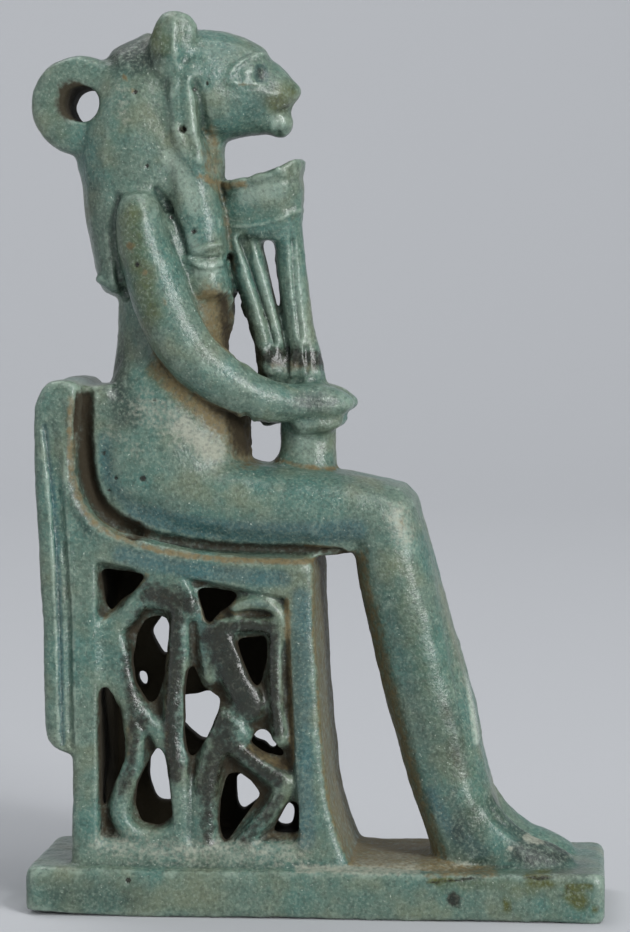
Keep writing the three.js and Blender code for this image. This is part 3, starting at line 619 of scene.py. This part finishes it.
        ("near", 0.9, 0.75, [(-14.2, 15.8), (-14.1, 13.8), (-14.2, 12), (-15, 9.6)]),  # lower loop
        ("near", 1.3, 1.0, [(-10.8, 23.6), (-11, 19), (-11.3, 15), (-10.9, 11)]),  # stem
        ("near", 2.6, 1.15, [(-7.6, 21.9), (-6.6, 19.8), (-5.7, 17.9), (-5, 16.6)]),  # openwork body
        ("near", 1.0, 1.0, [(-8.1, 22.3), (-6.4, 22.7), (-3.3, 22.6)]),  # openwork arm
        ("near", 1.0, 0.95, [(-3.2, 22), (-3.3, 19), (-3.1, 16), (-2.9, 14.4)]),  # front strand
        ("near", 2.2, 0.9, [(-7.6, 15.6), (-7, 14.4), (-7.6, 12.4), (-8.3, 10)]),  # openwork rear leg
        ("near", 1.3, 0.95, [(-6.4, 13.4), (-5, 12.2), (-3.8, 11.3), (-2.8, 10.8)]),  # openwork thigh
        ("near", 1.1, 0.75, [(-2.8, 9.2), (-3.8, 7.7), (-5.4, 6)]),  # openwork shin
        ("near", 1.2, 0.75, [(-8.3, 9.5), (-8.4, 6)]),  # openwork rear foot
        ("near", 0.9, 1.3, [(10.9, 1.8)]),  # spot on the base
        ("near", 0.35, 0.8, [(-14.4, 2.9)]),  # pore in the base, painted shade
        ("near", 0.25, 0.8, [(9.3, 3.1), (11, 3.3), (12.8, 3.5)]),  # crack under the heel
        ("near", 0.55, 0.8, [(-10.4, 61.2)]),  # pore in the wig, painted shade
        ("near", 0.3, 0.7, [(16.6, 3.5), (18.2, 3.6)]),  # base's top edge
        ("near", 0.45, 0.7, [(19.7, 2.8)]),  # base, front end
    ],
    "olive": [
        ("body", 1.3, 0.7, [(-8.2, 61.2), (-8.2, 59.7), (-8.2, 58.3), (-8, 57.4)]),  # throat
        ("both", 2.2, 1.1, [(-13, 69.4), (-12, 67.6)]),  # ear
        ("both", 2.4, 0.6, [(-20.4, 63.6), (-20, 61)]),  # ring
        ("both", 2.2, 1.2, [(-14.2, 54.6), (-13.6, 51), (-12.6, 46.6)]),  # upper arm
        ("both", 1.5, 0.6, [(-2.2, 58), (-1.6, 54.5), (-1.5, 51)]),  # umbel and front stem
        ("both", 1.8, 1.2, [(-2.4, 64.4), (-3.4, 63.2)]),  # muzzle
        ("body", 2.2, 1.2, [(-12.5, 42.6), (-8.4, 39)]),  # under the forearm, painted shade
        ("both", 3.2, 0.7, [(6.4, 27), (8.6, 20), (11, 12.6), (13, 7.6)]),  # shin
        ("near", 0.8, 1.6, [(16.8, 3.2), (18.4, 3.1)]),  # base, front end
        ("near", 1.4, 1.9, [(20, 2.2), (20.7, 1.8)]),  # base, front end
        ("near", 0.7, 1.6, [(21.8, 1.2)]),  # base, front end
        ("near", 0.6, 2.0, [(15, 1.8), (15.1, 1.1)]),  # spot on the base
        ("near", 0.35, 2.2, [(9, 3.2), (10.8, 3.3)]),  # crack under the heel
        ("near", 0.3, 2.2, [(16.5, 3.6), (18.4, 3.7)]),  # base's top edge
        ("near", 0.6, 2.0, [(19.7, 2.9), (21.4, 2.9)]),  # base, front end
        ("near", 1.4, 0.9, [(10, 2.8), (14, 3), (17, 2.6)]),  # base's side
        ("near", 0.5, 0.7, [(18.5, 5)]),  # toes
    ],
    "salt_and_glint": [
        ("near", 2.2, 0.75, [(-16.7, 5.7), (-12, 5), (-6.5, 5.2), (-1.5, 5)]),  # foot rail
        ("near", 0.6, 1.1, [(-1.1, 3.9), (4, 3.9), (8, 3.9)]),  # base's top edge
        ("near", 0.6, 0.6, [(8, 3.9), (12.1, 4.1)]),  # base's top edge
        ("near", 1.5, 1.4, [(-10.4, 38.3), (-9.4, 37.2), (-8, 36.2)]),  # belly
        ("near", 2.8, 0.75, [(-13.2, 39.6), (-10.4, 38), (-8, 36.2)]),  # flank
        ("near", 1.4, 0.5, [(-16.8, 38.3), (-15.2, 37.1), (-13.7, 36.3)]),  # small of the back
        ("near", 0.8, 0.45, "dressEdge"),
        ("near", 0.5, 1.5, [(15.2, 5.3)]),  # foot, painted glint
        ("near", 0.4, 1.4, [(16.4, 6), (17.6, 5.7)]),  # foot, painted glints
        ("near", 1.7, 0.95, [(6.3, 31.4), (6.9, 29.6)]),  # knee
        ("near", 1.2, 0.55, [(-15.4, 64.4), (-14.8, 62)]),  # wig
    ],
    "blue": [
        ("both", 1.8, 1.7, [(-14, 31.3), (-8, 29.9), (-1, 29.8), (3.2, 30.2)]),  # underside of the thigh, painted shade
        ("both", 1.3, 1.2, [(-16.5, 37), (-16.4, 34.4), (-15.2, 32.4), (-13, 31.2)]),  # hip, painted shade
        ("both", 0.5, 1.4, "coverGroove"),
        ("both", 1.4, 1.6, [(-15, 28.2), (-9.6, 27), (-2.4, 26.4)]),  # seat rail
        ("both", 1.5, 1.7, [(-1, 25), (-0.9, 15), (-0.6, 6)]),  # front post
        ("both", 0.9, 1.9, "iris"),
        ("both", 1.1, 0.7, [(6, 23.2), (7.4, 17.6), (9, 12), (10.4, 7)]),  # calf, painted shade
        ("both", 0.9, 0.8, [(-12.4, 56.4), (-10.8, 53.6), (-9.6, 51.8)]),  # beside the lappet
        ("both", 0.7, 0.7, [(-9, 63.8), (-8.7, 61.8)]),  # cheek's edge
        ("both", 1.5, 1.4, [(9, 9.4), (10.4, 6.8), (12.8, 5)]),  # heel, painted shade
        ("near", 0.6, 0.9, [(-5.6, 24.5), (-4, 24.5), (-3, 24)]),  # openwork arm
        ("near", 0.6, 0.8, [(-8.9, 24.8), (-8.8, 22), (-8.5, 19)]),  # behind the openwork body
        ("near", 0.7, 0.6, [(-15.4, 21), (-14.9, 18)]),  # upper loop
        ("near", 0.6, 0.6, [(-13.9, 13.8), (-14.2, 11.4), (-15.2, 9)]),  # lower loop
        ("near", 0.8, 0.8, [(-2.6, 10.6), (-3, 9.4)]),  # openwork knee
        ("near", 0.3, 0.7, [(-9.8, 15), (-9.7, 8)]),  # beside the stem
    ],
}


# Where dirt, wear and pooled glaze settle, and where shade is painted, by the shape alone
settling = {
    "fineRounds": 6,  # softening that shows fine and broad hollows
    "broadRounds": 30,
    "fineFull": 0.07,  # mm from the softened surface where a fine hollow or ridge counts fully
    "broadHollow": (0.03, 0.25),  # mm from the softened surface where a broad one begins and is full
    "broadHollowStrength": 1.4,
    "broadRidge": (0.05, 0.3),
    "panelRidge": 0.6,  # share of the ridges' wear and painted highlight on the openwork
    # how far and how strongly painted shade spreads round each pore
    "poreSpread": 1.3,
    "poreStrength": 1.4,
    "holeWall": (0.6, 0.3),  # a pierced hole's wall faces out less than this, and how far that fades
    "cordHole": {"middle": (-19, 63.5), "radius": 1.65, "fade": 0.2},  # mm
    # Faces with bare body or earth: the way they look, how squarely, x, z and distance from the middle
    # plane in mm, and strength
    "earthFaces": {
        "throneFront": ((1, 0, 0), (0.4, 0.8), (-1.2, 4), (3.6, 28), (0, 7), 0.85),
        "shinBack": ((-1, 0, 0), (0.4, 0.8), (2, 12), (3.6, 29), (0, 6), 0.85),
        "gapFloor": ((0, 0, 1), (0.5, 0.8), (0, 12), (3, 5.5), (0, 6.6), 1.1),
        "gapRoof": ((0, 0, -1), (0.5, 0.8), (-1, 5), (26, 29), (0, 7), 0.85),
    },
    "throneInside": ((-17.2, -0.8), (4, 27.8), (0, 6.1)),
    "insideDepth": (5.6, 0.8),  # mm from the middle plane to the inside, and how far it fades
    "deepHollow": (0.7, 0.95),  # share of the sky hidden where the dark earth and painted shade begin and are full
    "deepEnds": (4, 60),  # mm, x and z past which no dark earth or painted shade is put
    "grime_and_shade": {"wall": 1.5, "cordHole": 1.8, "inside": 1.8, "hollow_shade": 1.3},  # strengths
    "grimeAndShadeRounds": 8,
    "skyReach": 5.0,  # mm, how far a hollow's walls count
    "skyRays": 14,
    "skyStart": 0.5,  # mm above the surface
    "skyLean": 1.05,
}


# How much of the sky is hidden from each point by the plain CAD solid: 0 in the open, 1 deep down
def hollowness(points, normals):
    bm = bmesh.new()
    bm.from_mesh(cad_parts["figurine"].data)
    tree = BVHTree.FromBMesh(bm)
    rays = settling["skyRays"]
    turn = np.arange(rays) * math.pi * (3 - math.sqrt(5))  # the golden angle spreads them evenly
    rise = 1 - (2 * np.arange(rays) + 1) / rays
    ring = np.sqrt(1 - rise ** 2)
    directions = np.stack([ring * np.cos(turn), ring * np.sin(turn), rise], 1)
    reach = settling["skyReach"] * mm
    hidden = np.zeros(len(points))
    for i, (point, normal) in enumerate(zip(points, normals)):
        leaning = directions + normal * settling["skyLean"]
        start = Vector((point + settling["skyStart"] * normal) * mm)
        hits = sum(tree.ray_cast(start, Vector(way), reach)[0] is not None for way in leaning)
        hidden[i] = hits / rays
    bm.free()
    return hidden


def inBox(points, *ranges):
    x, y, z = points.T
    inside = [(values > low) & (values < high) for values, (low, high) in zip((x, z, np.abs(y)), ranges)]
    return np.all(inside, axis=0)


def stainMesh(mesh):
    points = pointsOf(mesh)
    normals = normalsOf(mesh)
    edges = edgesOf(mesh)
    x, y, z = points.T
    fine, broad = [((soften(points, edges, settling[rounds]) - points) * normals).sum(1)
                   for rounds in ("fineRounds", "broadRounds")]
    hollows = settling["broadHollowStrength"] * ramp(broad, *settling["broadHollow"])
    masks = {name: np.zeros(len(points)) for name in stains}
    # Painted shade in fine and broad hollows
    masks["recess"] = np.maximum(ramp(fine, 0, settling["fineFull"]), hollows)
    masks["wear_and_highlight"] = np.maximum(ramp(-fine, 0, settling["fineFull"]), ramp(-broad, *settling["broadRidge"]))

    def raiseMask(name, mark):
        masks[name] = np.maximum(masks[name], mark)

    for name, marks in stains.items():
        for side, width, strength, path in marks:
            path = carving[path][3] if isinstance(path, str) else path
            raiseMask(name, strength * nearPath(points, path, width) * onSide(points, side))
    # Painted shade in the pores
    for px, pz, radius, _ in pores:
        pore = nearPath(points, [(px, pz)], settling["poreSpread"] * radius)
        raiseMask("manganese_and_pore_shade", settling["poreStrength"] * pore * onSide(points, "near"))

    # Painted shade on the openwork's hole walls, which face sideways
    turned, fade = settling["holeWall"]
    wall = inPanel(points) * ramp(turned - np.abs(normals[:, 1]), 0, fade)
    raiseMask("recess", wall)
    masks["wear_and_highlight"] *= 1 - (1 - settling["panelRidge"]) * inPanel(points)
    for way, squarely, *box, strength in settling["earthFaces"].values():
        raiseMask("earth", strength * ramp(normals @ way, *squarely) * inBox(points, *box))

    # Painted shade from how much of the sky each point sees
    hollow_shade = hollowness(points, normals)
    raiseMask("hollow_shade", hollow_shade)
    # Dark earth and painted shade: hole walls, the cord hole, the throne's inside and deep hollows
    hole = settling["cordHole"]
    depth, fade = settling["insideDepth"]
    front, top = settling["deepEnds"]
    deepDark = {
        "wall": wall,
        "cordHole": ramp(hole["radius"] - awayFrom(points, [hole["middle"]]), 0, hole["fade"]),
        "inside": inBox(points, *settling["throneInside"]) * ramp(depth - np.abs(y), 0, fade),
        "hollow_shade": ramp(hollow_shade, *settling["deepHollow"]) * (x < front) * (z < top),
    }
    for name, strength in settling["grime_and_shade"].items():
        raiseMask("grime_and_shade", strength * deepDark[name])
    masks["grime_and_shade"] = soften(masks["grime_and_shade"][:, None], edges, settling["grimeAndShadeRounds"])[:, 0]

    for name, mask in masks.items():
        layer = mesh.attributes.new(name, "FLOAT", "POINT")
        layer.data.foreach_set("value", mask.astype(np.float32))


stainMesh(figurine.data)
print("stains", [layer.name for layer in figurine.data.attributes if layer.data_type == "FLOAT"])

# Faience: a sintered quartz body under a copper-blue alkaline glaze. The glaze is thin and glossy but
# pitted, so it glints in grains, runs blue where it pooled and lets the brown body through where thin.
# Shade in hollows and under the limbs, highlights on lit edges and small glints are also painted into the
# colour.

faience = {
    "glaze": "#54695d",
    "ior": 1.5,
    "roughness": 0.32,
    # Each layer lies over those before it: colour, the stain or painted light it follows, noise size in mm,
    # how far the noise breaks the stain's edge, the values where it begins and is full, strength and
    # roughness
    "layers": (
        ("#3a665f", None, 6.0, 1, 0.40, 0.62, 0.70, 0.34),  # slow change to a bluer green
        ("#6c6f56", None, 3.5, 1, 0.44, 0.68, 0.60, 0.38),  # greyer, thinner glaze
        ("#31463c", None, 1.3, 1, 0.44, 0.72, 0.25, 0.34),  # darker, thicker glaze
        ("#778878", None, 0.7, 1, 0.44, 0.72, 0.22, 0.28),  # clouding
        ("#27505a", "blue", 1.6, 0.8, 0.70, 1.90, 0.55, 0.26),  # pooled glaze, bluer; under the thigh, on the hip, calf and heel it is painted shade
        ("#21362f", "recess", 0.5, 0.9, 0.60, 1.90, 0.80, 0.34),  # painted shade in the hollows and on the openwork's hole walls
        ("#1a221e", "hollow_shade", 1.5, 0.8, 0.90, 1.35, 0.75, 0.50),  # painted shade, darker deep down where the sky is hidden
        ("#93a597", "wear_and_highlight", 0.4, 1.2, 0.90, 2.00, 0.65, 0.22),  # glaze worn pale on the ridges, and painted highlights on lit faces and edges
        ("#44470a", "olive", 1.0, 0.9, 0.70, 2.20, 0.90, 0.40),  # olive-brown stains; under the forearm it is painted shade
        ("#8c9c8c", None, 0.24, 1, 0.46, 0.70, 0.36, 0.20),  # pale quartz grains, in truth nearer 0.15 mm
        ("#c2cbbf", None, 0.22, 1, 0.66, 0.72, 0.60, 0.12),  # painted glints: pale specks standing in for tiny highlights
        ("#6a5a38", "earth", 0.5, 1.8, 1.10, 2.10, 0.85, 0.80),  # bare tan body and burial earth
        ("#999b8c", "salt_and_glint", 0.35, 2.4, 1.40, 2.60, 0.75, 0.80),  # salt crust, and painted glints on the foot
        ("#17130b", "manganese_and_pore_shade", 0.5, 1.5, 0.90, 1.65, 0.92, 0.20),  # manganese-black glaze, and painted shade in the pores
        ("#aab4a8", "wear_and_highlight", 0.3, 1.6, 2.00, 2.60, 0.60, 0.14),  # worn edges and painted glints over the black too
        ("#74796b", None, 0.28, 1, 0.52, 0.74, 0.26, 0.24),  # dull grains
        ("#1d2b26", None, 0.26, 1, 0.46, 0.70, 0.42, 0.38),  # dark specks
        ("#271e09", "grime_and_shade", 0.4, 1.3, 0.95, 2.00, 0.96, 0.90),  # dark earth and painted shade deep in grooves, holes and inside the throne
    ),
    "bumps": ((0.9, 0.06), (0.32, 0.045), (0.15, 0.03)),  # noise size and height in mm
    # Each noise begins elsewhere, so that no two layers line up
    "layerShift": 3.7,
    "layerDetail": 4.0,
    "bumpShift": 50.0,
    "bumpDetail": 3.0,
}


def addNode(tree, kind, settings={}, inputs={}):
    node = tree.nodes.new(kind)
    for name, value in settings.items():
        setattr(node, name, value)
    for socket, value in inputs.items():
        if isinstance(value, bpy.types.NodeSocket):
            tree.links.new(value, node.inputs[socket])
        else:
            node.inputs[socket].default_value = value
    return node


def makeFaience():
    material = bpy.data.materials.new("glazedFaience")
    material.use_nodes = True
    tree = material.node_tree
    tree.nodes.clear()
    place = addNode(tree, "ShaderNodeTexCoord").outputs["Object"]
    colour = linearColour(faience["glaze"])
    roughness = faience["roughness"]
    for step, (hexColour, mask, size, edge, low, high, amount, rough) in enumerate(faience["layers"]):
        noise = addNode(tree, "ShaderNodeTexNoise", {"noise_dimensions": "4D"},
                        {"Vector": place, "W": step * faience["layerShift"], "Scale": 1 / (size * mm),
                         "Detail": faience["layerDetail"]})
        value = noise.outputs["Fac"]
        if mask:
            follow = addNode(tree, "ShaderNodeAttribute", {"attribute_name": mask})
            value = addNode(tree, "ShaderNodeMath", {"operation": "MULTIPLY_ADD"},
                            {0: value, 1: edge, 2: follow.outputs["Fac"]}).outputs[0]
        cover = addNode(tree, "ShaderNodeMapRange", {"interpolation_type": "SMOOTHSTEP"},
                        {"Value": value, "From Min": low, "From Max": high, "To Max": amount}).outputs[0]
        # A Mix node's sockets: 6, 7 and output 2 are its colours, 2, 3 and output 0 its numbers
        colour = addNode(tree, "ShaderNodeMix", {"data_type": "RGBA"},
                         {0: cover, 6: colour, 7: linearColour(hexColour)}).outputs[2]
        roughness = addNode(tree, "ShaderNodeMix", {"data_type": "FLOAT"},
                            {0: cover, 2: roughness, 3: rough}).outputs[0]
    surface = {"Base Color": colour, "Roughness": roughness, "IOR": faience["ior"]}
    bumped = {}
    for step, (size, height) in enumerate(faience["bumps"]):
        grain = addNode(tree, "ShaderNodeTexNoise", {"noise_dimensions": "4D"},
                        {"Vector": place, "W": faience["bumpShift"] + step, "Scale": 1 / (size * mm),
                         "Detail": faience["bumpDetail"]})
        bump = addNode(tree, "ShaderNodeBump", {},
                       {"Height": grain.outputs["Fac"], "Distance": height * mm, "Strength": 1.0, **bumped})
        bumped = {"Normal": bump.outputs[0]}
    shader = addNode(tree, "ShaderNodeBsdfPrincipled", {}, {**surface, **bumped})
    addNode(tree, "ShaderNodeOutputMaterial", {}, {"Surface": shader.outputs[0]})
    return material


figurine.data.materials.clear()
figurine.data.materials.append(makeFaience())
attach(figurine, "root")
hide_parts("figurine")
print("faience", len(faience["layers"]))

# Studio: a pale paper sweep under soft lights

studio = {
    "paper": "#b9bbbf",
    "paperRoughness": 0.9,
    "floorSize": 3.0,  # m
    "behind": 0.45,  # m from the figurine to the foot of the sweep's curve
    "curve": 0.9,  # m, radius of the curve
    "steps": 24,
    "sky": ("#e2e6ea", 0.4),  # colour and strength
    "lights": (
        # name, place and aim in m, size in m, power in watts
        ("topBox", (0.3, -0.3, 1.0), (0, 0, 0.03), 0.5, 2.6),
        ("rightBox", (0.65, -0.75, 0.3), (0, 0, 0.03), 0.4, 7.7),
        ("glintBox", (0.45, -0.6, 0.6), (0, 0, 0.03), 0.1, 1.6),
        ("leftBox", (-0.7, -0.5, 0.3), (0, 0, 0.03), 0.6, 0.8),
        ("paperBox", (-0.4, 0.5, 1.2), (0, 0.9, 0.1), 0.8, 6.0),
    ),
}


def makeFloor():
    half = studio["floorSize"] / 2
    behind, curve = studio["behind"], studio["curve"]
    turns = [math.pi / 2 * step / studio["steps"] for step in range(studio["steps"] + 1)]
    arc = [(behind + curve * math.sin(turn), curve * (1 - math.cos(turn))) for turn in turns]
    rows = [(-half, 0), *arc, (behind + curve, studio["floorSize"])]
    bm = bmesh.new()
    edges = [bm.edges.new([bm.verts.new((side * half, -half, 0)) for side in (-1, 1)])]
    for (y, z), (nextY, nextZ) in zip(rows, rows[1:]):
        grown = bmesh.ops.extrude_edge_only(bm, edges=edges)["geom"]
        edges = [item for item in grown if isinstance(item, bmesh.types.BMEdge)]
        verts = [item for item in grown if isinstance(item, bmesh.types.BMVert)]
        bmesh.ops.translate(bm, verts=verts, vec=(0, nextY - y, nextZ - z))
    bmesh.ops.recalc_face_normals(bm, faces=bm.faces)
    floor = bpy.data.objects.new("paperSweep", meshFromBmesh("paperSweep", bm))
    floor.data.shade_smooth()
    bpy.context.scene.collection.objects.link(floor)
    paper = bpy.data.materials.new("mattPaper")
    paper.use_nodes = True
    shader = paper.node_tree.nodes["Principled BSDF"]
    shader.inputs["Base Color"].default_value = linearColour(studio["paper"])
    shader.inputs["Roughness"].default_value = studio["paperRoughness"]
    floor.data.materials.append(paper)


def makeLights():
    world = bpy.data.worlds.new("softSky")
    bpy.context.scene.world = world
    world.use_nodes = True
    sky = world.node_tree.nodes["Background"]
    skyColour, strength = studio["sky"]
    sky.inputs["Color"].default_value = linearColour(skyColour)
    sky.inputs["Strength"].default_value = strength
    for name, place, aim, size, power in studio["lights"]:
        light = bpy.data.lights.new(name, "AREA")
        light.size = size
        light.energy = power
        lamp = bpy.data.objects.new(name, light)
        lamp.location = place
        lamp.rotation_euler = (Vector(aim) - Vector(place)).to_track_quat("-Z", "Y").to_euler()
        bpy.context.scene.collection.objects.link(lamp)


# The camera's place was worked out from the base and the suspension loop in the photograph
view = {
    "azimuth": 4.722,  # degrees from straight at her right side, towards her front
    "elevation": 3.307,  # degrees above level
    "distance": 0.2576,  # m
    "aim": (-0.00045, 0, 0.03481),
    "focal": 3250.7,  # pixels, in a picture 932 pixels tall
    "height": 932,
    "sensor": 36,  # mm
    "nearest": 0.01,  # m
}


def makeCamera():
    turn = math.radians(view["azimuth"])
    tilt = math.radians(view["elevation"])
    back = Vector((math.sin(turn) * math.cos(tilt), -math.cos(turn) * math.cos(tilt), math.sin(tilt)))
    lens = bpy.data.cameras.new("camera")
    lens.sensor_width = view["sensor"]
    lens.lens = lens.sensor_width * view["focal"] / view["height"]
    lens.clip_start = view["nearest"]
    camera = bpy.data.objects.new("camera", lens)
    camera.location = Vector(view["aim"]) + back * view["distance"]
    camera.rotation_euler = (math.pi / 2 - tilt, 0, turn)
    bpy.context.scene.collection.objects.link(camera)
    bpy.context.scene.camera = camera


makeFloor()
makeLights()
makeCamera()
bpy.context.scene.view_settings.view_transform = "Standard"
print("studio", len(studio["lights"]))
